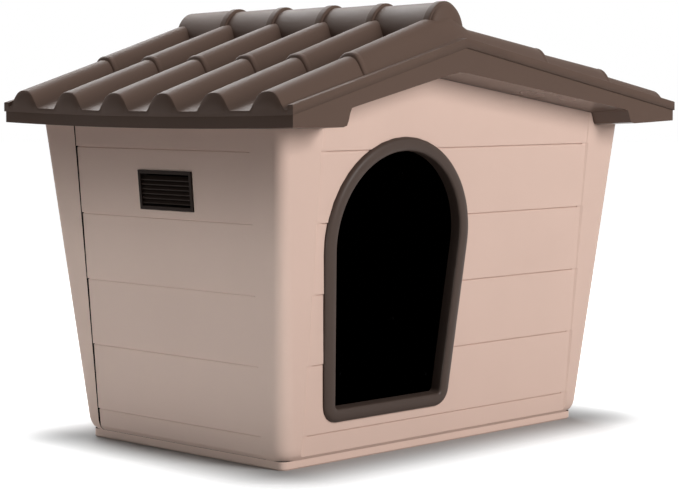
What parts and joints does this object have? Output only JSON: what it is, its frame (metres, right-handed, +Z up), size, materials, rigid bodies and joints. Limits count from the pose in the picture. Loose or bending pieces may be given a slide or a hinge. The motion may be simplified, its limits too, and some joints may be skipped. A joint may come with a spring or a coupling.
{
  "type": "dog house",
  "caption": "Plastic dog house with flared plank-patterned walls, an arched doorway with a trim ring, side vents and a lift-off roof moulded as tile courses.",
  "frame": {"origin": "on the ground under the middle of the roof's outline", "axes": "+Z up; the doorway faces -Y; the ridge runs along Y; +X to the right as seen from the door"},
  "size_m": [0.6, 0.443, 0.4626],
  "materials": {
    "wall_plastic": "satin beige",
    "trim_plastic": "satin dark brown",
    "roof_plastic": "satin brown",
    "screw_steel": "black zinc-plated"
  },
  "bodies": {
    "house": {"floor_tray": "wall_plastic", "front_wall": "wall_plastic", "rear_wall": "wall_plastic", "left_wall": "wall_plastic", "right_wall": "wall_plastic", "door_frame": "trim_plastic", "vent_grille_left": "trim_plastic", "vent_grille_right": "trim_plastic", "corner_screw_front_left_1": "screw_steel", "corner_screw_front_left_2": "screw_steel", "corner_screw_front_right_1": "screw_steel", "corner_screw_front_right_2": "screw_steel", "corner_screw_rear_left_1": "screw_steel", "corner_screw_rear_left_2": "screw_steel", "corner_screw_rear_right_1": "screw_steel", "corner_screw_rear_right_2": "screw_steel", "floor_screw_front_1": "screw_steel", "floor_screw_front_2": "screw_steel", "floor_screw_left_1": "screw_steel", "floor_screw_left_2": "screw_steel", "floor_screw_rear_1": "screw_steel", "floor_screw_rear_2": "screw_steel", "floor_screw_right_1": "screw_steel", "floor_screw_right_2": "screw_steel"},
    "roof": {"roof_frame": "roof_plastic", "roof_shell": "roof_plastic", "roof_screw_1": "screw_steel", "roof_screw_2": "screw_steel", "roof_screw_3": "screw_steel", "roof_screw_4": "screw_steel", "roof_screw_5": "screw_steel", "roof_screw_6": "screw_steel"}
  },
  "joints": [
    {"name": "roof_lift", "type": "slide", "parent": "house", "child": "roof", "axis": [0, 0, 1], "range_m": [0, 0.12]}
  ]
}
